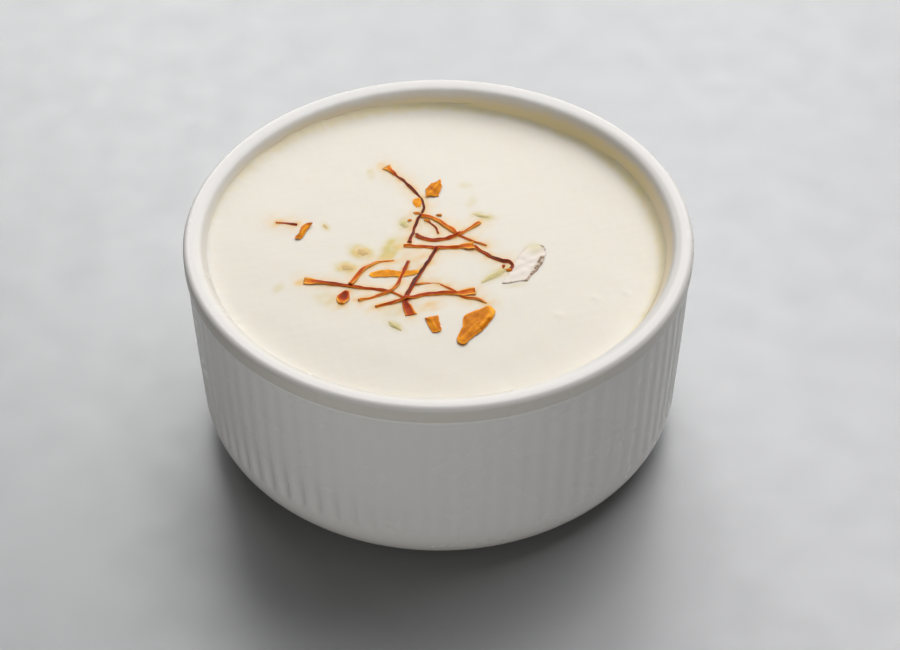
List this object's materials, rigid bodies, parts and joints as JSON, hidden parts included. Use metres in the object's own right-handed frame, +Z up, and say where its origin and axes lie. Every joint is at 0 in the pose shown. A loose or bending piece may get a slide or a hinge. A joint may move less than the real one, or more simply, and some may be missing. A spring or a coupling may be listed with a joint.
{
  "type": "semolina pudding",
  "caption": "Set semolina pudding in a round fluted porcelain ramekin, topped with saffron threads, petal flakes and an almond flake.",
  "frame": {"origin": "centre of the ramekin's foot, on the surface it stands on", "axes": "+Z up out of the ramekin's mouth, -Y the front, +X to the right as seen from the front"},
  "size_m": [0.09, 0.09, 0.0405],
  "materials": {
    "porcelain": "white porcelain under a clear glossy glaze",
    "pudding_cream": null,
    "saffron": null,
    "petal": null,
    "almond": null,
    "pistachio": null
  },
  "bodies": {
    "root": {"ramekin": "porcelain", "pudding": "pudding_cream", "saffron_threads": "saffron", "almond_flake": "almond", "petal_flake_large": "petal", "petal_flake_leaf": "petal", "petal_flake_short": "petal", "petal_flake_twisted": "petal"}
  },
  "joints": []
}
